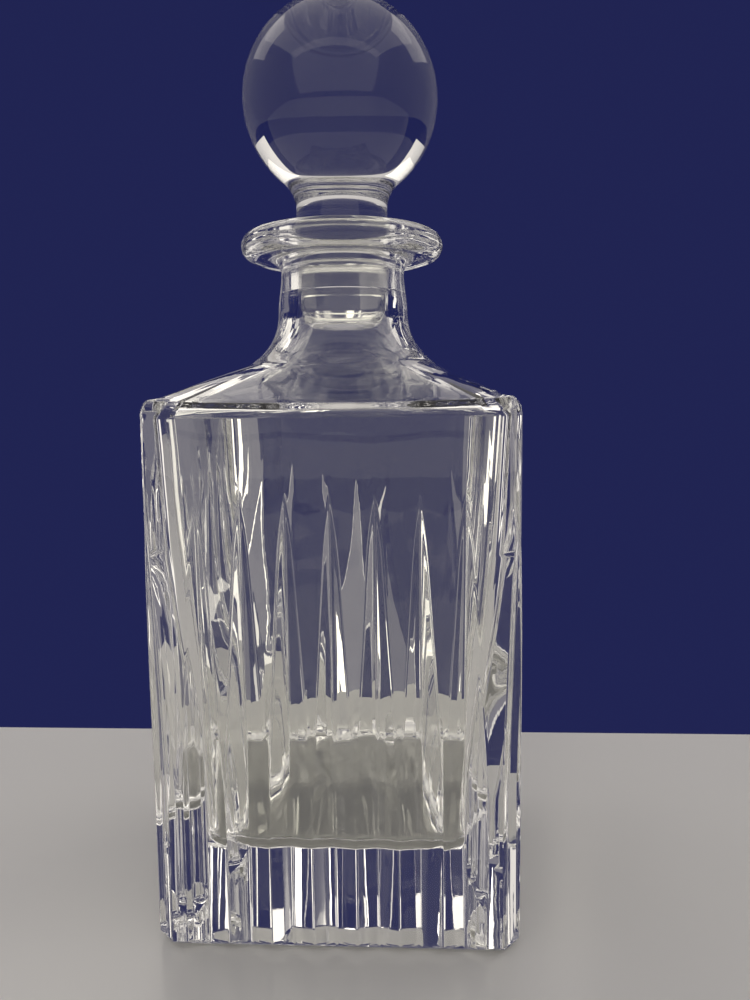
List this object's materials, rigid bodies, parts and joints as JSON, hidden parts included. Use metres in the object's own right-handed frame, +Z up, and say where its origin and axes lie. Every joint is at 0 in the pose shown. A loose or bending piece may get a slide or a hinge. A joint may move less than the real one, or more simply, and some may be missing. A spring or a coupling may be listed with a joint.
{
  "type": "wine decanter",
  "caption": "Square clear cut-glass decanter with tall V cuts, a sloping shoulder, a round neck with a thick lip and a lift-out solid ball stopper.",
  "frame": {"origin": "centre of the footprint, on the surface the decanter stands on", "axes": "+Z up along the axis of the neck and stopper; X and Y square to the flat sides of the body; -Y is the front"},
  "size_m": [0.091, 0.091, 0.2435],
  "materials": {
    "bottle_glass": "polished clear crystal",
    "stopper_glass": "polished clear crystal, ground peg"
  },
  "bodies": {
    "bottle": {"bottle": "bottle_glass"},
    "stopper": {"stopper": "stopper_glass"}
  },
  "joints": [
    {"name": "stopper_lift", "type": "slide", "parent": "bottle", "child": "stopper", "axis": [0, 0, 1], "range_m": [0, 0.06]}
  ]
}
